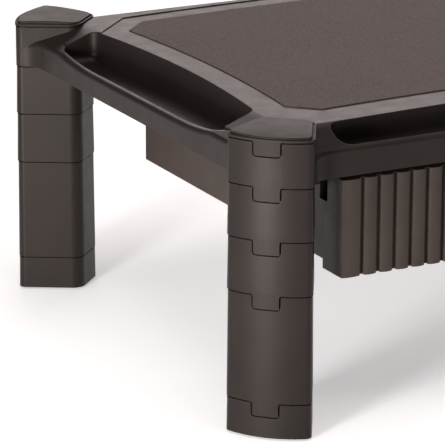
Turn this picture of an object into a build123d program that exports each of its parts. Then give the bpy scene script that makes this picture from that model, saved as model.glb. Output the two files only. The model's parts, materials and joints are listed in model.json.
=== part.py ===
from build123d import *
import math
import os

# ---------------------------------------------------------------------------------------------
# A desktop riser: a moulded deck on four corner columns, with a drawer slung under the deck.
# Frame: origin on the ground under the middle of the deck, +X to the right, +Y to the back,
# +Z up. Millimetres.
# ---------------------------------------------------------------------------------------------

# Deck plan
DECK_HALF_X = 207.0
DECK_HALF_Y = 157.6
SKIRT_WALL = 2.6
SLAB_CORNER = 25.0        # the slab's own corners end inside the columns
LEG_BLEND = 14.0          # concave radius between a column and the skirt
SKIRT_TOP_ROUND = 3.0     # round-over along the outer rim of the deck
POCKET_MOUTH_ROUND = 0.5
TRAY_MOUTH_ROUND = 0.8

# Levels, from the ground up
PAD_FACE = 0.8            # how far the rubber pads stand proud of the feet
FOOT_TOP = 20.5
TALL_TOP = 80.9
LOWER_TOP = 111.0
UPPER_TOP = 140.3         # top of the columns and lower edge of the skirt
DECK_RIM = 155.5          # height of the rim along the skirt
DECK_TOP = 165.5          # level of the deck around the sunk panel
PANEL = 164.9
SOCKET_TOP = 165.0        # top of the four corner sockets, where the caps sit
CAP_BEAD_TOP = 166.4      # top of the bead around a cap
CAP_EDGE = 167.0
CAP_RISE = 1.0            # crown of a cap above its edge level
CAP_CROWN = 220.0         # radius of the crown
ROOF = 4.0                # thickness of the deck's roof
TUB_FLOOR = 2.7           # thickness under the pockets and the tray
ABOVE = 180.0             # a level clear above everything

# The slope from the flat of the deck down to its rim
SLOPE_RUN_X = 26.0
SLOPE_RUN_Y = 20.6
SLOPE_BLEND = 30.0
SLOPE_BELOW = 5.0         # how far the slope's envelope runs on below the skirt

# Column section: outer face an arc, sides drawn in towards the middle of the deck
LEG_X = 200.0
LEG_Y = 152.0
LEG_HALF_OUTER = 24.2
LEG_HALF_INNER = 14.6
LEG_DEPTH = 36.0
LEG_BULGE = 6.0
LEG_OUTER_ROUND = 4.0
LEG_INNER_ROUND = 7.5
LEG_WALL = 2.6
LEAST_ROUND = 0.6         # smallest corner round of a hollow or spigot
FLARE = 0.25              # how much a piece is wider at its foot than at its middle
SOCKET_GROW = 0.12        # the deck's corner sockets, which aren't flared

CAP_GROW = 0.4            # how far a cap stands out past its socket's section
CAP_GAP = 0.4             # between a cap and the deck around it

# Snap joint between column pieces
SEAM = 0.7                # width of the shadow line
SEAM_DEPTH = 1.3
SPIGOT_GAP = 0.35
SPIGOT_WALL = 2.0
SPIGOT_RISE = 8.0
COLLAR = 10.0             # depth of the thickened collar at a piece's top
COLLAR_OVERLAP = 0.6      # how far the collar runs into the skin around it
TAB_WIDTH = 14.6
TAB_DROP = 7.8
TAB_ROUND = 1.5
TAB_ROOT = 1.2            # how far a tab's skin runs up into its piece
CAP_TAB_ROOT = 0.5        # the same on a cap, kept below the cap's rounded edge
TAB_BACK = 3.4            # local depth of the tab's back face
NOTCH_BACK = 3.1

# Cap plug, the socket it fits, and the sole of a foot
CAP_ROUND = 0.5
BEAD = 1.1                # width of the bead around the cap
BEAD_ROUND = 0.4
GROOVE = 0.7              # width of the groove inside the bead
GROOVE_LOW = 165.7
PLUG_DEPTH = 7.0
PLUG_INSET = 5.6
PLUG_WALL = 2.0
PLUG_SEAT_DEPTH = 10.0
PLUG_SEAT_INSET = 5.2
DIAPHRAGM = 3.0
SOLE = 3.2
PAD_SEAT = 1.5
PAD_INSET = 4.0
PAD_GAP = 0.1

# Non-slip mat and sunk panel, all bowed to the back along X and drawn in along Y
BOW = 0.00028             # bow of the front and back edges, per mm of X squared
MAT_THICKNESS = 1.6
MAT_RECESS = 1.0          # less than the mat's thickness, so the mat stands proud
MAT_GAP = 0.6
MAT_SIDE = 162.0
MAT_WAIST = 156.5
MAT_FRONT = 107.2
MAT_BACK = 115.7
MAT_CHAMFER_FRONT = 15.0
MAT_CHAMFER_BACK = 16.0
PANEL_BACK = 130.5
PANEL_BACK_X = 151.6
PANEL_BACK_CUT = 23.5
PANEL_FRONT = 137.6
PANEL_FRONT_X = 163.5
PANEL_SIDE = 184.6
PANEL_SIDE_FRONT = 116.5
PANEL_SIDE_BACK = 91.0

# Side pockets and front tray
POCKET_INNER = 173.0
POCKET_INNER_END = 180.5
POCKET_OUTER = 202.8
POCKET_FRONT = 99.0
POCKET_REAR = 102.5
POCKET_FLOOR = 147.0
POCKET_ROUND = 5.0
POCKET_CORNER = 6.0
LIP_LOW = 153.0           # height of the side lips at their middle
LIP_FLAT = 55.0
LIP_RADIUS = 253.0
LIP_END = 118.0
LIP_REACH = 4.0           # how far the lip's cut runs in over the pocket
TRAY_INNER = 130.7
TRAY_OUTER = 154.4
TRAY_HALF_LENGTH = 158.0
TRAY_FLOOR = 147.5
TRAY_ROUND = 6.0
TRAY_CORNER = 7.0

# Deck ribs and screw bosses
RIB = 2.0
RIB_LOW = 153.0
RIB_HEIGHT = 20.0         # runs up into the roof
TUB_ROUND_EXTRA = 2.0     # a tub's outer bottom round over its inner one
RIB_X = (-96.0, -32.0, 32.0, 96.0)
RIB_Y = (-70.0, 0.0, 70.0)
BOSS_RADIUS = 4.5
BOSS_LOW = 152.0
PILOT_DEPTH = 8.0
SCREW_INSET = 50.0        # from the deck's side
SCREW_Y = (-110.0, -20.0, 70.0)
SCREW_RADIUS = 1.7
PILOT_RADIUS = 1.75
SCREW_HOLE = 2.0
SCREW_HEAD_RADIUS = 3.4
SCREW_HEAD = 2.2
SCREW_HEAD_ROUND = 0.9
SCREW_BITE = 6.0          # how far a screw goes into its boss
DRIVE_LENGTH = 4.0
DRIVE_WIDTH = 0.9

# Drawer and rails
DRAWER_HALF = 158.0
DRAWER_WALL = 2.4
DRAWER_FRONT = -156.6
FRONT_DEPTH = 21.6
FRONT_LOW = 83.3
FRONT_TOP = 137.7
TRAY_LOW = 87.9
TRAY_TOP = 136.0
TRAY_REAR = 80.7
RIBS_ACROSS = 31
END_RIB = 11.2            # the outermost ribs are wider than the rest
RIB_GROOVE = 2.6
RIB_GROOVE_DEPTH = 3.0
RIB_CROWN = 0.9
FRONT_WALL = 3.2
FLANGE = 5.0
FLANGE_LOW = 132.0
FLANGE_THICK = 2.4
RAIL_CLEAR = 0.6
RAIL_THICK = 2.4
RAIL_FRONT = -131.0
RAIL_REAR = 84.0
RAIL_FOOT = 16.0
RAIL_DROP = 0.2           # between a flange and the ledge it runs on
STOP_LENGTH = 4.0
STOP_GAP = 0.6            # between a rail's front stop and the flange under it
REAR_GAP = 0.3            # between the closed tray and the rear stop
LUG_RISE = 3.0            # the lug that meets the front stop, above the flange
DRAWER_TRAVEL = 165.0
NOTCH_DEPTH = 4.3
NOTCH_HEIGHT = 16.0
NOTCH_WIDTH = 6.0         # wider than the walls, so it opens into the hollow
NOTCH_BEHIND = 3.8        # how far the relief runs on into the tray's corner
FRONT_SCREW_Z = 112.0
FRONT_SCREW_X = (45.0, 130.0)
TRAY_EDGE_ROUND = 1.5
TRAY_INSIDE_CORNER = 5.0
TRAY_INSIDE_ROUND = 3.0
TRAY_BACK_LEDGE = 6.0

STANDING = (Align.CENTER, Align.CENTER, Align.MIN)

CORNERS = {
    "front_left": (-1, -1),
    "front_right": (1, -1),
    "rear_left": (-1, 1),
    "rear_right": (1, 1),
}


# ------------------------------------------------------------------ helpers
def at_corner(shape, corner):
    """Moves a piece from the column's own frame to a corner of the deck."""
    sign_x, sign_y = CORNERS[corner]
    outward = math.degrees(math.atan2(sign_y, sign_x))
    return shape.moved(Location((sign_x * LEG_X, sign_y * LEG_Y, 0), (0, 0, outward - 90)))


def leg_section(grow):
    """The column's section, grown by an offset. Local +Y points out of the corner."""
    slope = (LEG_HALF_OUTER - LEG_HALF_INNER) / LEG_DEPTH
    side = LEG_HALF_OUTER + grow * math.hypot(1, slope)
    radius = (LEG_HALF_OUTER**2 + LEG_BULGE**2) / (2 * LEG_BULGE)
    centre = LEG_BULGE - radius
    a = 1 + slope**2
    b = 2 * (side * slope - centre)
    c = side**2 + centre**2 - (radius + grow) ** 2
    v_outer = (-b + math.sqrt(b * b - 4 * a * c)) / (2 * a)
    u_outer = side + slope * v_outer
    v_inner = -LEG_DEPTH - grow
    u_inner = side + slope * v_inner
    outline = ThreePointArc((u_outer, v_outer), (0, LEG_BULGE + grow), (-u_outer, v_outer))
    outline += Line((-u_outer, v_outer), (-u_inner, v_inner))
    outline += Line((-u_inner, v_inner), (u_inner, v_inner))
    outline += Line((u_inner, v_inner), (u_outer, v_outer))
    face = make_face(outline)
    outer = face.vertices().filter_by(lambda v: v.Y > -LEG_DEPTH / 2)
    face = fillet(outer, max(LEG_OUTER_ROUND + grow, LEAST_ROUND))
    inner = face.vertices().filter_by(lambda v: abs(v.Y - v_inner) < 1e-6)
    return fillet(inner, max(LEG_INNER_ROUND + grow, LEAST_ROUND))


def leg_block(low, high, grow_low, grow_high=None):
    """A solid of the column's section, straight or slightly flared."""
    if grow_high is None:
        return extrude(Pos(0, 0, low) * leg_section(grow_low), high - low)
    return loft([Pos(0, 0, low) * leg_section(grow_low), Pos(0, 0, high) * leg_section(grow_high)])


def tab_profile(base, extra):
    """Upright outline of a tab that hangs from the level base, with its bar above."""
    half = TAB_WIDTH / 2 + extra
    low = base - TAB_DROP - extra
    bar = base - extra
    shape = Polygon(
        (-half - 5, bar), (-half, bar), (-half, low), (half, low),
        (half, bar), (half + 5, bar), (half + 5, bar + 4), (-half - 5, bar + 4),
        align=None,
    )
    tips = shape.vertices().filter_by(lambda v: abs(v.Y - low) < 1e-6)
    shape = fillet(tips, TAB_ROUND + extra)
    roots = shape.vertices().filter_by(lambda v: abs(v.Y - bar) < 1e-6 and abs(abs(v.X) - half) < 1e-6)
    return fillet(roots, 1.3 - extra)


def tab_solid(base, extra, back):
    """The tab outline run outward from its back face."""
    upright = Plane(origin=(0, back, 0), x_dir=(-1, 0, 0), z_dir=(0, 1, 0))
    return extrude(upright * tab_profile(base, extra), 12)


def with_tab(base, grow, root):
    """The hanging tab of a piece whose lower edge is at base."""
    skin = leg_block(base - TAB_DROP - 1, base + root, grow)
    return tab_solid(base, 0, TAB_BACK) & skin


def notch(top):
    """What the tab of the piece above needs cut out of a piece that ends at top."""
    return tab_solid(top, SEAM, NOTCH_BACK)


def column_top(top):
    """Collar and spigot at the top of a column piece, hollow all through."""
    ring = leg_block(top - COLLAR, top, -LEG_WALL + COLLAR_OVERLAP)
    ring += leg_block(top, top + SPIGOT_RISE, -LEG_WALL - SPIGOT_GAP)
    return ring


def column_hollow(low, top):
    """The space down the middle of a column piece."""
    bore = -LEG_WALL - SPIGOT_GAP - SPIGOT_WALL
    space = leg_block(low - 1, top - COLLAR, -LEG_WALL)
    return space + leg_block(low, top + SPIGOT_RISE + 1, bore)


def riser(low, top):
    """A column piece: flared skin, shadow line, notch at the top and tab at the foot."""
    skin = leg_block(low, top - SEAM, FLARE, -FLARE)
    skin += leg_block(top - SEAM, top, -FLARE - SEAM_DEPTH)
    piece = skin + column_top(top)
    piece -= column_hollow(low, top)
    piece -= notch(top)
    return piece + with_tab(low, FLARE, TAB_ROOT)


def foot(top):
    """The lowest piece of a column, closed below, with a seat for its rubber pad."""
    floor = PAD_FACE + SOLE
    skin = leg_block(PAD_FACE, top - SEAM, FLARE, 0)
    skin += leg_block(top - SEAM, top, -SEAM_DEPTH)
    piece = skin + column_top(top)
    bore = -LEG_WALL - SPIGOT_GAP - SPIGOT_WALL
    piece -= leg_block(floor, top + SPIGOT_RISE + 1, bore)
    piece -= leg_block(floor, top - COLLAR, -LEG_WALL)
    piece -= notch(top)
    return piece - leg_block(PAD_FACE - 1, PAD_FACE + PAD_SEAT, -PAD_INSET)


def foot_pad():
    """Rubber pad let into the sole of a foot."""
    return leg_block(0, PAD_FACE + PAD_SEAT, -PAD_INSET - PAD_GAP)


def cap():
    """Crowned lid of a corner socket within a fine bead, its hanging tab, and a plug ring below."""
    bead = leg_block(SOCKET_TOP, CAP_BEAD_TOP, CAP_GROW)
    bead = fillet(bead.edges().group_by(Axis.Z)[-1], BEAD_ROUND)
    bead -= leg_block(GROOVE_LOW, ABOVE, CAP_GROW - BEAD)
    lid = leg_block(SOCKET_TOP, CAP_EDGE + CAP_RISE + 1, CAP_GROW - BEAD - GROOVE)
    middle = (LEG_BULGE - LEG_DEPTH) / 2
    crown = Rot(0, 90, 0) * Cylinder(CAP_CROWN, 4 * LEG_HALF_OUTER)
    lid &= Pos(0, middle, CAP_EDGE + CAP_RISE - CAP_CROWN) * crown
    top_edges = lid.edges().filter_by(lambda e: e.center().Z > SOCKET_TOP + 1.0)
    top_edges = top_edges.filter_by(lambda e: abs((e @ 0).Z - (e @ 1).Z) < 0.9)
    lid = fillet(top_edges, CAP_ROUND)
    plug = leg_block(SOCKET_TOP - PLUG_DEPTH, SOCKET_TOP, -PLUG_INSET)
    plug -= leg_block(SOCKET_TOP - PLUG_DEPTH - 1, SOCKET_TOP, -PLUG_INSET - PLUG_WALL)
    return bead + lid + plug + with_tab(SOCKET_TOP, CAP_GROW, CAP_TAB_ROOT)


def socket():
    """Corner socket of the deck: takes a spigot from below and a cap from above."""
    skin = leg_block(UPPER_TOP, SOCKET_TOP - SEAM, SOCKET_GROW)
    return skin + leg_block(SOCKET_TOP - SEAM, SOCKET_TOP, -SEAM_DEPTH)


def socket_hollow():
    """Spigot hole below and plug recess above the socket's diaphragm, with the cap's notch."""
    below = leg_block(UPPER_TOP - 1, SOCKET_TOP - PLUG_SEAT_DEPTH - DIAPHRAGM, -LEG_WALL)
    above = leg_block(SOCKET_TOP - PLUG_SEAT_DEPTH, SOCKET_TOP + 1, -PLUG_SEAT_INSET)
    return below + above + notch(SOCKET_TOP)


# ------------------------------------------------------------------ deck
def mat_face(grow):
    """Plan of the non-slip mat: waisted sides, front and back bowed to the back, cut corners."""
    side = MAT_SIDE + grow
    waist = MAT_WAIST + grow
    front_end = side - MAT_CHAMFER_FRONT
    back_end = side - MAT_CHAMFER_BACK
    y_front = -(MAT_FRONT + grow) - BOW * front_end**2
    y_back = MAT_BACK + grow - BOW * back_end**2
    y_side_front = y_front + MAT_CHAMFER_FRONT
    y_side_back = y_back - MAT_CHAMFER_BACK
    outline = ThreePointArc((-front_end, y_front), (0, -MAT_FRONT - grow), (front_end, y_front))
    outline += Line((front_end, y_front), (side, y_side_front))
    outline += ThreePointArc((side, y_side_front), (waist, 0), (side, y_side_back))
    outline += Line((side, y_side_back), (back_end, y_back))
    outline += ThreePointArc((back_end, y_back), (0, MAT_BACK + grow), (-back_end, y_back))
    outline += Line((-back_end, y_back), (-side, y_side_back))
    outline += ThreePointArc((-side, y_side_back), (-waist, 0), (-side, y_side_front))
    outline += Line((-side, y_side_front), (-front_end, y_front))
    return make_face(outline)


def panel_cut():
    """What sinks the deck's middle panel, out over the pockets and the tray."""
    y_back = PANEL_BACK - BOW * PANEL_BACK_X**2
    right = [
        (PANEL_FRONT_X, -PANEL_FRONT),
        (PANEL_SIDE, -PANEL_SIDE_FRONT),
        (PANEL_SIDE, PANEL_SIDE_BACK),
        (PANEL_BACK_X + PANEL_BACK_CUT, y_back - PANEL_BACK_CUT),
        (PANEL_BACK_X, y_back),
    ]
    left = [(-x, y) for x, y in reversed(right)]
    outline = ThreePointArc(right[-1], (0, PANEL_BACK), left[0])
    outline += Polyline(*left, *right)
    return extrude(Pos(0, 0, PANEL) * make_face(outline), ABOVE - PANEL)


def pillow(drop):
    """Envelope of the deck's top: flat in the middle, sloping down to the rim all round."""
    rise = DECK_TOP - DECK_RIM
    depth = DECK_RIM - UPPER_TOP + SLOPE_BELOW
    wide = DECK_HALF_X + depth * SLOPE_RUN_X / rise
    deep = DECK_HALF_Y + depth * SLOPE_RUN_Y / rise
    low = Pos(0, 0, UPPER_TOP - SLOPE_BELOW - drop) * Rectangle(2 * wide, 2 * deep)
    top_x = DECK_HALF_X - SLOPE_RUN_X
    top_y = DECK_HALF_Y - SLOPE_RUN_Y
    high = Pos(0, 0, DECK_TOP - drop) * Rectangle(2 * top_x, 2 * top_y)
    block = loft([low, high], ruled=True)
    return fillet(block.edges().group_by(Axis.Z)[-1], SLOPE_BLEND)


def deck_block(height):
    """The deck's outer form: a slab with the four columns blended into its corners."""
    block = Box(2 * DECK_HALF_X, 2 * DECK_HALF_Y, height)
    block = fillet(block.edges().filter_by(Axis.Z), SLAB_CORNER)
    for corner in CORNERS:
        block += at_corner(leg_block(-height / 2, height / 2, SOCKET_GROW), corner)
    upright = block.edges().filter_by(Axis.Z)
    on_side = upright.filter_by(lambda e: abs(abs(e.center().X) - DECK_HALF_X) < 1e-4)
    on_front = upright.filter_by(lambda e: abs(abs(e.center().Y) - DECK_HALF_Y) < 1e-4)
    block = fillet(on_side + on_front, LEG_BLEND)
    return Pos(0, 0, UPPER_TOP + height / 2) * block


def pocket_outline(grow):
    """Plan of the left side pocket, its inner edge parallel to the mat's waist."""
    inner = -POCKET_INNER + grow
    inner_end = -POCKET_INNER_END + grow
    outer = -POCKET_OUTER - grow
    front = -POCKET_FRONT - grow
    rear = POCKET_REAR + grow
    outline = ThreePointArc((inner_end, front), (inner, 0), (inner_end, rear))
    outline += Polyline((inner_end, rear), (outer, rear), (outer, front), (inner_end, front))
    face = make_face(outline)
    return fillet(face.vertices(), POCKET_CORNER + grow)


def tray_outline(grow):
    """Plan of the front tray, its inner edge parallel to the mat's front edge."""
    half = TRAY_HALF_LENGTH + grow
    inner = -TRAY_INNER + grow
    inner_end = inner - BOW * half**2
    outer = -TRAY_OUTER - grow
    outline = ThreePointArc((-half, inner_end), (0, inner), (half, inner_end))
    outline += Line((half, inner_end), (half, outer))
    outline += Line((half, outer), (-half, outer))
    outline += Line((-half, outer), (-half, inner_end))
    face = make_face(outline)
    return fillet(face.vertices(), TRAY_CORNER + grow)


def trough(face, floor, bottom_round, top):
    """A recess of the given plan with a rounded bottom."""
    block = extrude(Pos(0, 0, floor) * face, top - floor)
    return fillet(block.edges().group_by(Axis.Z)[0], bottom_round)


def recesses():
    """Both side pockets and the front tray, as the solids to take away."""
    pocket = trough(pocket_outline(0), POCKET_FLOOR, POCKET_ROUND, ABOVE)
    tray = trough(tray_outline(0), TRAY_FLOOR, TRAY_ROUND, ABOVE)
    return both_sides(pocket) + tray


def mirrored(shape):
    """The same shape on the other side of the deck."""
    return mirror(shape, about=Plane.YZ)


def both_sides(shape):
    """The shape and its mirror image."""
    return shape + mirrored(shape)


def lip_cut():
    """Lowers the side lips: level in the middle, rising in long arcs to the corners."""
    end = LIP_END
    rise = LIP_LOW + (end - LIP_FLAT) ** 2 / (2 * LIP_RADIUS)
    middle = (end + LIP_FLAT) / 2
    half_rise = LIP_LOW + (middle - LIP_FLAT) ** 2 / (2 * LIP_RADIUS)
    outline = Line((-LIP_FLAT, LIP_LOW), (LIP_FLAT, LIP_LOW))
    outline += ThreePointArc((LIP_FLAT, LIP_LOW), (middle, half_rise), (end, rise))
    outline += Polyline((end, rise), (end, ABOVE), (-end, ABOVE), (-end, rise))
    outline += ThreePointArc((-end, rise), (-middle, half_rise), (-LIP_FLAT, LIP_LOW))
    side = Plane(origin=(-DECK_HALF_X - 1, 0, 0), x_dir=(0, 1, 0), z_dir=(1, 0, 0))
    return extrude(side * make_face(outline), DECK_HALF_X + 1 - POCKET_OUTER + LIP_REACH)


def sockets(solid_maker):
    """One of the column shapes at each corner, fused."""
    shape = at_corner(solid_maker(), "front_left")
    for corner in ("front_right", "rear_left", "rear_right"):
        shape += at_corner(solid_maker(), corner)
    return shape


def under_deck():
    """Open space inside the skirt, less the pocket tubs, the tray tub, ribs and bosses."""
    inner_x = DECK_HALF_X - SKIRT_WALL
    inner_y = DECK_HALF_Y - SKIRT_WALL
    space = Pos(0, 0, UPPER_TOP - 1) * Box(2 * inner_x, 2 * inner_y, 40, align=STANDING)
    space &= pillow(ROOF)
    pocket_tub = trough(
        pocket_outline(SKIRT_WALL), POCKET_FLOOR - TUB_FLOOR, POCKET_ROUND + TUB_ROUND_EXTRA, ABOVE
    )
    tray_tub = trough(
        tray_outline(SKIRT_WALL), TRAY_FLOOR - TUB_FLOOR, TRAY_ROUND + TUB_ROUND_EXTRA, ABOVE
    )
    tubs = both_sides(pocket_tub) + tray_tub
    space -= tubs
    space -= sockets(lambda: leg_block(UPPER_TOP - 2, ABOVE, -0.5))
    for x in RIB_X:
        space -= Pos(x, 0, RIB_LOW) * Box(RIB, 2 * inner_y + 2, RIB_HEIGHT, align=STANDING)
    for y in RIB_Y:
        space -= Pos(0, y, RIB_LOW) * Box(2 * inner_x + 2, RIB, RIB_HEIGHT, align=STANDING)
    for x, y in screw_places():
        space -= Pos(x, y, BOSS_LOW) * Cylinder(BOSS_RADIUS, 20, align=STANDING)
    return space


def screw_places():
    """Plan positions of the rail screws."""
    x = DECK_HALF_X - SCREW_INSET
    return [(side * x, y) for side in (-1, 1) for y in SCREW_Y]


def rim_edges(deck):
    """Edges where the top slopes and lips meet the skirt."""
    near = deck.edges().filter_by(lambda e: LIP_LOW - 3 < e.center().Z < DECK_RIM + 1.5)
    on_side = near.filter_by(lambda e: abs(e.center().X) > DECK_HALF_X - 0.01)
    on_front = near.filter_by(lambda e: abs(e.center().Y) > DECK_HALF_Y - 0.01)
    side = on_side.filter_by(lambda e: abs(e.center().Y) < LEG_Y - 12)
    front = on_front.filter_by(lambda e: abs(e.center().X) < LEG_X - 20)
    return side + front


def mouth_edges(deck, low, high):
    """Edges of the deck's upper faces whose middle lies in a box in plan, either side of X = 0."""
    tops = deck.faces().filter_by(lambda f: f.center().Z > LIP_LOW - 0.1 and f.normal_at().Z > 0.85)
    mouths = []
    for edge in tops.edges():
        x = abs(edge.center().X)
        y = edge.center().Y
        inside = low[0] < x < high[0] and low[1] < y < high[1]
        if inside and edge.length > 1 and not any(edge.is_same(other) for other in mouths):
            mouths.append(edge)
    return mouths


def round_mouths(deck):
    """Rounds the mouths of the side pockets and the front tray."""
    low = (POCKET_INNER_END + 3, -POCKET_FRONT - 0.3)
    pockets = mouth_edges(deck, low, (POCKET_OUTER + 0.2, POCKET_REAR + 0.3))
    deck = fillet(pockets, POCKET_MOUTH_ROUND)
    half = TRAY_HALF_LENGTH + 1
    tray = mouth_edges(deck, (-1, -TRAY_OUTER - 0.6), (half, -TRAY_INNER + 1.7))
    return fillet(tray, TRAY_MOUTH_ROUND)


def top_deck():
    """The deck moulding, in one piece with its skirt, tubs and corner sockets."""
    deck = (deck_block(40) & pillow(0)) - both_sides(lip_cut()) - recesses()
    deck = fillet(rim_edges(deck), SKIRT_TOP_ROUND)
    deck = round_mouths(deck) - panel_cut()
    deck -= extrude(Pos(0, 0, PANEL - MAT_RECESS) * mat_face(MAT_GAP), 5)
    deck -= under_deck()
    deck += sockets(socket)
    deck -= sockets(socket_hollow)
    deck -= sockets(lambda: leg_block(SOCKET_TOP, ABOVE, CAP_GROW + CAP_GAP))
    deck += sockets(lambda: with_tab(UPPER_TOP, SOCKET_GROW, TAB_ROOT))
    for x, y in screw_places():
        deck -= Pos(x, y, BOSS_LOW - 1) * Cylinder(PILOT_RADIUS, PILOT_DEPTH + 1, align=STANDING)
    return deck


def nonslip_mat():
    """Thin rubber mat that lies in the panel's recess and stands a little proud of it."""
    return extrude(Pos(0, 0, PANEL - MAT_RECESS) * mat_face(0), MAT_THICKNESS)


# ------------------------------------------------------------------ drawer
def rib_spans():
    """Left and right edges of the drawer front's ribs, from left to right."""
    first = -DRAWER_HALF + END_RIB + RIB_GROOVE
    pitch = (RIB_GROOVE - 2 * first) / (RIBS_ACROSS - 2)
    spans = [(-DRAWER_HALF, -DRAWER_HALF + END_RIB)]
    for index in range(RIBS_ACROSS - 2):
        left = first + index * pitch
        spans.append((left, left + pitch - RIB_GROOVE))
    return spans + [(DRAWER_HALF - END_RIB, DRAWER_HALF)]


def front_outline():
    """Plan of the drawer front: crowned upright ribs between narrow grooves."""
    back = DRAWER_FRONT + FRONT_DEPTH
    shoulder = DRAWER_FRONT + RIB_CROWN
    groove = DRAWER_FRONT + RIB_GROOVE_DEPTH
    outline = Line((-DRAWER_HALF, back), (-DRAWER_HALF, shoulder))
    last = None
    for left, right in rib_spans():
        if last is not None:
            outline += Polyline((last, shoulder), (last, groove), (left, groove), (left, shoulder))
        outline += ThreePointArc((left, shoulder), ((left + right) / 2, DRAWER_FRONT), (right, shoulder))
        last = right
    outline += Polyline((DRAWER_HALF, shoulder), (DRAWER_HALF, back), (-DRAWER_HALF, back))
    return make_face(outline)


def front_screw_places():
    """Positions (x, z) of the screws that hold the drawer front to the tray."""
    return [(side * x, FRONT_SCREW_Z) for side in (-1, 1) for x in FRONT_SCREW_X]


def along_y(radius, length):
    """A round bar along +Y from the origin."""
    return Rot(-90, 0, 0) * Cylinder(radius, length, align=STANDING)


def drawer_front():
    """Ribbed panel, hollow behind, with bosses for its screws and a relief at each top corner."""
    back = DRAWER_FRONT + FRONT_DEPTH
    height = FRONT_TOP - FRONT_LOW
    panel = extrude(Pos(0, 0, FRONT_LOW) * front_outline(), height)
    face_back = DRAWER_FRONT + RIB_GROOVE_DEPTH + FRONT_WALL
    pocket = Pos(0, back + 1, FRONT_LOW + height / 2) * Box(
        2 * (DRAWER_HALF - FRONT_WALL), back + 1 - face_back, height - 2 * FRONT_WALL,
        align=(Align.CENTER, Align.MAX, Align.CENTER),
    )
    for x, z in front_screw_places():
        pocket -= Pos(x, face_back - 1, z) * along_y(BOSS_RADIUS, 30)
    panel -= pocket
    for x, z in front_screw_places():
        panel -= Pos(x, back - PILOT_DEPTH, z) * along_y(PILOT_RADIUS, PILOT_DEPTH + 1)
    for side in (-1, 1):
        panel -= Pos(side * DRAWER_HALF, back, FRONT_TOP) * Box(
            2 * NOTCH_WIDTH, 2 * NOTCH_DEPTH, 2 * NOTCH_HEIGHT
        )
    return panel


def drawer_tray():
    """Open tray with a flange along each side that runs in the rails."""
    front = DRAWER_FRONT + FRONT_DEPTH
    length = TRAY_REAR - front
    middle = (TRAY_REAR + front) / 2
    height = TRAY_TOP - TRAY_LOW
    body = Pos(0, middle, TRAY_LOW) * Box(2 * DRAWER_HALF, length, height, align=STANDING)
    body = fillet(body.edges().filter_by(Axis.Y).group_by(Axis.Z)[0], TRAY_EDGE_ROUND)
    inside = Pos(0, middle, TRAY_LOW + DRAWER_WALL) * Box(
        2 * (DRAWER_HALF - DRAWER_WALL), length - 2 * DRAWER_WALL, height + 10, align=STANDING
    )
    inside = fillet(inside.edges().filter_by(Axis.Z), TRAY_INSIDE_CORNER)
    inside = fillet(inside.edges().group_by(Axis.Z)[0], TRAY_INSIDE_ROUND)
    flange_length = TRAY_REAR - RAIL_FRONT
    flange = Pos(0, (TRAY_REAR + RAIL_FRONT) / 2, FLANGE_LOW) * Box(
        2 * (DRAWER_HALF + FLANGE), flange_length, FLANGE_THICK, align=STANDING
    )
    lug = Pos(0, RAIL_FRONT + STOP_LENGTH + DRAWER_TRAVEL + STOP_LENGTH, FLANGE_LOW) * Box(
        2 * (DRAWER_HALF + FLANGE), STOP_LENGTH, FLANGE_THICK + LUG_RISE, align=STANDING
    )
    body = body + flange + lug - inside
    body -= Pos(0, middle, TRAY_TOP) * Box(
        2 * (DRAWER_HALF - DRAWER_WALL), length - 2 * TRAY_BACK_LEDGE, 20
    )
    for x, z in front_screw_places():
        body -= Pos(x, front - 1, z) * along_y(SCREW_HOLE, DRAWER_WALL + 2)
    for side in (-1, 1):
        body -= Pos(side * DRAWER_HALF, front, FRONT_TOP) * Box(
            2 * NOTCH_WIDTH, 2 * NOTCH_BEHIND, 2 * NOTCH_HEIGHT
        )
    return body


def left_rail():
    """Channel rail under the deck: screw flange, web, running ledge, stops at both ends."""
    outer = DRAWER_HALF + FLANGE + RAIL_CLEAR + RAIL_THICK
    ledge = outer - DRAWER_HALF - RAIL_CLEAR
    top = BOSS_LOW
    bottom = FLANGE_LOW - RAIL_THICK - RAIL_DROP
    length = RAIL_REAR - RAIL_FRONT
    corner = (Align.MIN, Align.MIN, Align.MIN)
    rail = Pos(-outer, RAIL_FRONT, bottom) * Box(RAIL_THICK, length, top - bottom, align=corner)
    rail += Pos(-outer, RAIL_FRONT, bottom) * Box(ledge, length, RAIL_THICK, align=corner)
    rail += Pos(-outer, RAIL_FRONT, top - RAIL_THICK) * Box(RAIL_FOOT, length, RAIL_THICK, align=corner)
    stop_low = FLANGE_LOW + FLANGE_THICK + STOP_GAP
    rail += Pos(-outer, RAIL_FRONT, stop_low) * Box(ledge, STOP_LENGTH, top - stop_low, align=corner)
    rail += Pos(-outer, TRAY_REAR + REAR_GAP, bottom) * Box(
        ledge, RAIL_REAR - TRAY_REAR - REAR_GAP, top - bottom, align=corner
    )
    for x, y in screw_places():
        if x < 0:
            rail -= Pos(x, y, top - RAIL_THICK - 1) * Cylinder(SCREW_HOLE, RAIL_THICK + 2, align=STANDING)
    return rail


def screw(length):
    """Pan-head screw: shank along +Z from the underside of its head."""
    head = Pos(0, 0, -SCREW_HEAD) * Cylinder(SCREW_HEAD_RADIUS, SCREW_HEAD, align=STANDING)
    head = fillet(head.edges().group_by(Axis.Z)[0], SCREW_HEAD_ROUND)
    drive = Box(DRIVE_LENGTH, DRIVE_WIDTH, 1.0) + Box(DRIVE_WIDTH, DRIVE_LENGTH, 1.0)
    head -= Pos(0, 0, -SCREW_HEAD) * drive
    return head + Cylinder(SCREW_RADIUS, length, align=STANDING)


def rail_screws():
    """All screws of both rails, as separate solids in one group."""
    under = BOSS_LOW - RAIL_THICK
    one = screw(RAIL_THICK + SCREW_BITE)
    return Compound(children=[Pos(x, y, under) * one for x, y in screw_places()])


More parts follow.
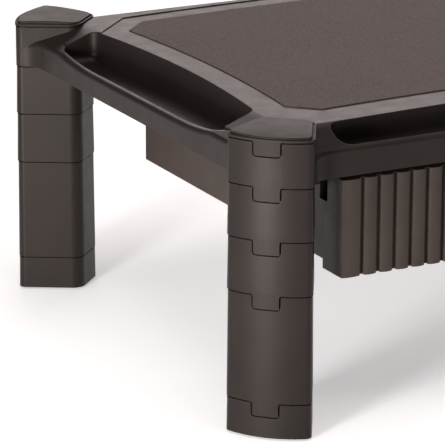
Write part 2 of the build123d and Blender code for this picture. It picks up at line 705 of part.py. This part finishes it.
def drawer_screws():
    """All screws of the drawer front, driven forward from inside the tray."""
    seat = DRAWER_FRONT + FRONT_DEPTH + DRAWER_WALL
    one = Rot(90, 0, 0) * screw(DRAWER_WALL + SCREW_BITE)
    return Compound(children=[Pos(x, seat, z) * one for x, z in front_screw_places()])


# ------------------------------------------------------------------ all the pieces
COLUMN = (
    ("upper_riser", lambda: riser(LOWER_TOP, UPPER_TOP)),
    ("lower_riser", lambda: riser(TALL_TOP, LOWER_TOP)),
    ("tall_riser", lambda: riser(FOOT_TOP, TALL_TOP)),
    ("foot", lambda: foot(FOOT_TOP)),
    ("foot_pad", foot_pad),
    ("cap", cap),
)


def all_nodes():
    """Every node by name, in its place."""
    nodes = {
        "top_deck": top_deck(),
        "nonslip_mat": nonslip_mat(),
        "drawer_front": drawer_front(),
        "drawer_tray": drawer_tray(),
        "drawer_screws": drawer_screws(),
        "left_drawer_rail": left_rail(),
        "right_drawer_rail": mirrored(left_rail()),
        "rail_screws": rail_screws(),
    }
    for piece, make in COLUMN:
        shape = make()
        for corner in CORNERS:
            nodes[f"{corner}_{piece}"] = at_corner(shape, corner)
    return nodes


os.makedirs("parts", exist_ok=True)
for name, shape in all_nodes().items():
    export_step(shape, f"parts/{name}.step")
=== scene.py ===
import json
import math

import bpy
from mathutils import Matrix, Vector


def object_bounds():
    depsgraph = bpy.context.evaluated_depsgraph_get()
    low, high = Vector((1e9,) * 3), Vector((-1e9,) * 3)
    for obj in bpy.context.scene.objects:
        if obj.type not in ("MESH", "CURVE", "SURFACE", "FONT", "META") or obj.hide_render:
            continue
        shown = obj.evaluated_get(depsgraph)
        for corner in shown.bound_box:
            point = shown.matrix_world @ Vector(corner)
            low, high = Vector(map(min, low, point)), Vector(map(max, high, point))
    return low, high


# A desktop riser: a moulded deck on four columns of stacked pieces, with a ribbed drawer under it.
# Metres, +Z up, the front of the deck towards -Y.

MM = 0.001

# Camera
CAMERA_TARGET = Vector((-0.2167, -0.1308, 0.1160))
CAMERA_AZIMUTH = -27.609
CAMERA_ELEVATION = 17.345
CAMERA_ROLL = 0.163
CAMERA_DISTANCE = 1.6174
CAMERA_LENS = 247.5
CAMERA_SENSOR = 36.0

# Studio
FLOOR_DROP = 0.3 * MM
FLOOR_HALF = 30.0
FLOOR_GREY = 0.9
FLOOR_GREY_SPREAD = 0.01
FLOOR_GLOW = 0.42         # the white sweep is lit from below as well
FLOOR_ROUGHNESS = 0.8
WORLD_COLOUR = (1.0, 0.995, 0.985, 1.0)
WORLD_STRENGTH = 0.02
WHITE = (1.0, 1.0, 1.0)
WARM = (1.0, 0.9, 0.88)

# Lamps: name, azimuth, elevation (degrees), distance, width, height (metres), watts, colour
LAMPS = (
    ("overhead", -20, 78, 1.5, 1.6, 1.3, 16, WARM),
    ("behind", 150, 22, 2.2, 2.0, 0.8, 19, WARM),
    ("front_strip", -60, 4, 1.5, 0.25, 0.5, 29, WHITE),
    ("left", -110, 25, 1.8, 0.8, 0.8, 1, WHITE),
    ("right", 60, 30, 1.8, 0.8, 0.8, 1.5, WARM),
)

# Moulded plastic
PLASTIC_SPECULAR = 0.22
PLASTIC_TINT = (1.0, 0.88, 0.83, 1.0)
MOULD_EDGE = 0.35 * MM
CLOUD_SCALE = 26.0        # features per metre, here and below
FLECK_SCALE = 1500.0
FLECK_MOST = 0.35
GLOSS_SCALE = 90.0
GLOSS_SPREAD = 0.05
GRAIN_SCALE = 2100.0
GRAIN_STRENGTH = 0.5

# Rubber mat
MAT_EDGE = 0.4 * MM
MAT_SPECULAR = 0.2
PEBBLE_SCALE = 1150.0
PEBBLE_HEIGHT = 0.12 * MM
SPECK_SCALE = 820.0
SPECK_HEIGHT = 0.05 * MM

# Screws
STAIN_SCALE = 700.0
BRUSH_SCALE = 2600.0
BRUSH_HEIGHT = 0.02 * MM

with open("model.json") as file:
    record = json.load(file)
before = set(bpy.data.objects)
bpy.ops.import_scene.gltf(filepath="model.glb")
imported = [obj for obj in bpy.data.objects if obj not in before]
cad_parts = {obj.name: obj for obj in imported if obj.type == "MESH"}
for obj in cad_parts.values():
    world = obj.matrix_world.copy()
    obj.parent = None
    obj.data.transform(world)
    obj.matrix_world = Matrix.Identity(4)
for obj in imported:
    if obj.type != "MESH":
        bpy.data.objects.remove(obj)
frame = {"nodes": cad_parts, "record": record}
cad_low, cad_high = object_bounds()


# ------------------------------------------------------------------ placing things
def direction(azimuth, elevation):
    """Unit vector from the object towards an azimuth and elevation in degrees."""
    a = math.radians(azimuth)
    e = math.radians(elevation)
    return Vector((math.sin(a) * math.cos(e), -math.cos(a) * math.cos(e), math.sin(e)))


def facing(back):
    """Rotation of a camera or lamp that looks along -back, with its top upwards."""
    right = Vector((0, 0, 1)).cross(back).normalized()
    up = back.cross(right)
    return Matrix((right, up, back)).transposed()


def make_camera():
    """The camera at the fitted place, made the scene's own."""
    data = bpy.data.cameras.new("camera")
    data.lens = CAMERA_LENS
    data.sensor_width = CAMERA_SENSOR
    data.clip_start = 0.05
    data.clip_end = 100.0
    camera = bpy.data.objects.new("camera", data)
    back = direction(CAMERA_AZIMUTH, CAMERA_ELEVATION)
    turn = facing(back) @ Matrix.Rotation(math.radians(CAMERA_ROLL), 3, "Z")
    place = Matrix.Translation(CAMERA_TARGET + back * CAMERA_DISTANCE)
    camera.matrix_world = place @ turn.to_4x4()
    bpy.context.scene.collection.objects.link(camera)
    bpy.context.scene.camera = camera


def softbox(name, azimuth, elevation, distance, wide, tall, power, colour):
    """A rectangular lamp that faces the middle of the object."""
    data = bpy.data.lights.new(name, "AREA")
    data.shape = "RECTANGLE"
    data.size = wide
    data.size_y = tall
    data.energy = power
    data.color = colour
    lamp = bpy.data.objects.new(name, data)
    back = direction(azimuth, elevation)
    middle = (cad_low + cad_high) / 2
    lamp.matrix_world = Matrix.Translation(middle + back * distance) @ facing(back).to_4x4()
    bpy.context.scene.collection.objects.link(lamp)


# ------------------------------------------------------------------ materials
def srgb(red, green, blue):
    """Linear colour from 0-255 display values."""
    linear = []
    for value in (red, green, blue):
        share = value / 255
        linear.append(share / 12.92 if share <= 0.04045 else ((share + 0.055) / 1.055) ** 2.4)
    return (*linear, 1.0)


class Shader:
    """A material's node tree, with short calls for the nodes that this script uses."""

    def __init__(self, name):
        self.material = bpy.data.materials.new(name)
        self.material.use_nodes = True
        self.tree = self.material.node_tree
        self.tree.nodes.clear()
        self.surface = self.node("ShaderNodeBsdfPrincipled")
        output = self.node("ShaderNodeOutputMaterial")
        self.link(self.surface.outputs["BSDF"], output.inputs["Surface"])
        self.place = self.node("ShaderNodeTexCoord").outputs["Object"]

    def node(self, kind, **settings):
        made = self.tree.nodes.new(kind)
        for key, value in settings.items():
            setattr(made, key, value)
        return made

    def link(self, source, target):
        self.tree.links.new(source, target)

    def feed(self, socket, value):
        """Joins a socket to another node's output, or sets it to a plain value."""
        if isinstance(value, bpy.types.NodeSocket):
            self.link(value, socket)
        else:
            socket.default_value = value

    def noise(self, scale, detail, roughness):
        """Noise over the object's own coordinates; scale is in features per metre."""
        made = self.node("ShaderNodeTexNoise")
        made.inputs["Scale"].default_value = scale
        made.inputs["Detail"].default_value = detail
        made.inputs["Roughness"].default_value = roughness
        self.link(self.place, made.inputs["Vector"])
        return made.outputs["Fac"]

    def cells(self, scale):
        """Rounded pits or grains, as the distance to the nearest of scattered points."""
        made = self.node("ShaderNodeTexVoronoi")
        made.inputs["Scale"].default_value = scale
        self.link(self.place, made.inputs["Vector"])
        return made.outputs["Distance"]

    def spread(self, value, low, high, to_low, to_high):
        """Maps a value from one range to another, held at its ends."""
        made = self.node("ShaderNodeMapRange")
        for key, number in (
            ("From Min", low), ("From Max", high), ("To Min", to_low), ("To Max", to_high),
        ):
            made.inputs[key].default_value = number
        self.link(value, made.inputs["Value"])
        return made.outputs["Result"]

    def mix(self, factor, first, second):
        """Mixes two colours."""
        made = self.node("ShaderNodeMix", data_type="RGBA")
        self.feed(made.inputs[0], factor)
        self.feed(made.inputs[6], first)
        self.feed(made.inputs[7], second)
        return made.outputs[2]

    def bump(self, height, strength, distance, normal=None):
        made = self.node("ShaderNodeBump")
        made.inputs["Strength"].default_value = strength
        made.inputs["Distance"].default_value = distance
        self.link(height, made.inputs["Height"])
        if normal:
            self.link(normal, made.inputs["Normal"])
        return made.outputs["Normal"]

    def soft_edges(self, radius):
        """Normals that turn over sharp edges as a small moulded radius does."""
        made = self.node("ShaderNodeBevel", samples=6)
        made.inputs["Radius"].default_value = radius
        return made.outputs["Normal"]


def moulded_plastic(name, dark, light, rough, grain):
    """Textured injection moulding: cloudy tone, fine spark grain, slightly uneven gloss."""
    shader = Shader(name)
    cloud = shader.spread(shader.noise(CLOUD_SCALE, 4.0, 0.6), 0.3, 0.7, 0.0, 1.0)
    fleck = shader.spread(shader.noise(FLECK_SCALE, 2.0, 0.7), 0.35, 0.65, 0.0, FLECK_MOST)
    tone = shader.mix(cloud, dark, light)
    shader.feed(shader.surface.inputs["Base Color"], shader.mix(fleck, tone, light))
    sheen = shader.noise(GLOSS_SCALE, 5.0, 0.65)
    gloss = shader.spread(sheen, 0.25, 0.75, rough - GLOSS_SPREAD, rough + GLOSS_SPREAD)
    shader.feed(shader.surface.inputs["Roughness"], gloss)
    shader.surface.inputs["Specular IOR Level"].default_value = PLASTIC_SPECULAR
    shader.surface.inputs["Specular Tint"].default_value = PLASTIC_TINT
    pits = shader.noise(GRAIN_SCALE, 3.0, 0.7)
    pits = shader.bump(pits, GRAIN_STRENGTH, grain, shader.soft_edges(MOULD_EDGE))
    shader.feed(shader.surface.inputs["Normal"], pits)
    return shader.material


def mat_rubber(name, dark, light):
    """Foamed rubber with a fine pebbled face."""
    shader = Shader(name)
    pebble = shader.cells(PEBBLE_SCALE)
    speck = shader.spread(shader.noise(SPECK_SCALE, 3.0, 0.75), 0.38, 0.62, 0.0, 1.0)
    cloud = shader.spread(shader.noise(18.0, 3.0, 0.5), 0.3, 0.7, 0.0, 0.25)
    tone = shader.mix(speck, dark, light)
    shader.feed(shader.surface.inputs["Base Color"], shader.mix(cloud, tone, light))
    shader.feed(shader.surface.inputs["Roughness"], shader.spread(pebble, 0.0, 0.8, 0.62, 0.8))
    shader.surface.inputs["Specular IOR Level"].default_value = MAT_SPECULAR
    coarse = shader.bump(pebble, 0.6, PEBBLE_HEIGHT, shader.soft_edges(MAT_EDGE))
    shader.feed(shader.surface.inputs["Normal"], shader.bump(speck, 0.4, SPECK_HEIGHT, coarse))
    return shader.material


def zinc_steel(name):
    """Bright zinc-plated screw."""
    shader = Shader(name)
    stain = shader.spread(shader.noise(STAIN_SCALE, 3.0, 0.6), 0.35, 0.65, 0.0, 1.0)
    tone = shader.mix(stain, srgb(168, 172, 178), srgb(205, 206, 208))
    shader.feed(shader.surface.inputs["Base Color"], tone)
    shader.feed(shader.surface.inputs["Roughness"], shader.spread(stain, 0.0, 1.0, 0.28, 0.42))
    shader.surface.inputs["Metallic"].default_value = 1.0
    brushed = shader.noise(BRUSH_SCALE, 2.0, 0.5)
    shader.feed(shader.surface.inputs["Normal"], shader.bump(brushed, 0.3, BRUSH_HEIGHT))
    return shader.material


def floor_finish():
    """Nearly white matt floor with a faint unevenness."""
    shader = Shader("studio_floor")
    low = FLOOR_GREY - FLOOR_GREY_SPREAD
    high = FLOOR_GREY + FLOOR_GREY_SPREAD
    grain = shader.spread(shader.noise(60.0, 3.0, 0.6), 0.3, 0.7, low, high)
    colour = shader.node("ShaderNodeCombineColor")
    for channel in ("Red", "Green", "Blue"):
        shader.link(grain, colour.inputs[channel])
    shader.feed(shader.surface.inputs["Base Color"], colour.outputs["Color"])
    shader.surface.inputs["Roughness"].default_value = FLOOR_ROUGHNESS
    shader.surface.inputs["Emission Color"].default_value = (*WHITE, 1)
    shader.surface.inputs["Emission Strength"].default_value = FLOOR_GLOW
    return shader.material


# ------------------------------------------------------------------ finishes of the CAD nodes
PLASTIC_DARK = srgb(26, 22, 20)
PLASTIC_LIGHT = srgb(32, 27, 25)
DRAWER_DARK = srgb(50, 43, 39)
DRAWER_LIGHT = srgb(60, 52, 48)

FINISHES = {
    "deck_plastic": moulded_plastic("deck_plastic", PLASTIC_DARK, PLASTIC_LIGHT, 0.46, 0.05 * MM),
    "cap_plastic": moulded_plastic("cap_plastic", PLASTIC_DARK, PLASTIC_LIGHT, 0.55, 0.05 * MM),
    "column_plastic": moulded_plastic("column_plastic", PLASTIC_DARK, PLASTIC_LIGHT, 0.4, 0.04 * MM),
    "drawer_plastic": moulded_plastic("drawer_plastic", DRAWER_DARK, DRAWER_LIGHT, 0.42, 0.04 * MM),
    "rail_plastic": moulded_plastic("rail_plastic", DRAWER_DARK, DRAWER_LIGHT, 0.5, 0.04 * MM),
    "mat_rubber": mat_rubber("mat_rubber", srgb(62, 52, 49), srgb(90, 79, 76)),
    "pad_rubber": moulded_plastic("pad_rubber", srgb(34, 32, 31), srgb(44, 42, 41), 0.72, 0.06 * MM),
    "screw_steel": zinc_steel("screw_steel"),
}


def node_slots():
    """The record's material slot of each CAD node."""
    slots = {}
    for part in frame["record"]["subparts"]:
        slots[part["node"]] = part["material_slot"]
    return slots


def finish_nodes():
    """Gives each CAD node the finish of its slot."""
    for name, slot in node_slots().items():
        node = frame["nodes"][name]
        node.data.materials.clear()
        node.data.materials.append(FINISHES[slot])


# ------------------------------------------------------------------ studio
def make_floor():
    """A wide plain floor just under the feet."""
    mesh = bpy.data.meshes.new("studio_floor")
    h = FLOOR_HALF
    corners = [(-h, -h, -FLOOR_DROP), (h, -h, -FLOOR_DROP), (h, h, -FLOOR_DROP), (-h, h, -FLOOR_DROP)]
    mesh.from_pydata(corners, [], [(0, 1, 2, 3)])
    mesh.materials.append(floor_finish())
    floor = bpy.data.objects.new("studio_floor", mesh)
    bpy.context.scene.collection.objects.link(floor)


def make_light():
    """Faint surroundings and the softboxes."""
    world = bpy.data.worlds.new("studio")
    world.use_nodes = True
    background = world.node_tree.nodes["Background"]
    background.inputs["Color"].default_value = WORLD_COLOUR
    background.inputs["Strength"].default_value = WORLD_STRENGTH
    bpy.context.scene.world = world
    for lamp in LAMPS:
        softbox(*lamp)


make_camera()
make_floor()
make_light()
finish_nodes()
bpy.context.scene.view_settings.view_transform = "Standard"

bpy.context.view_layer.update()
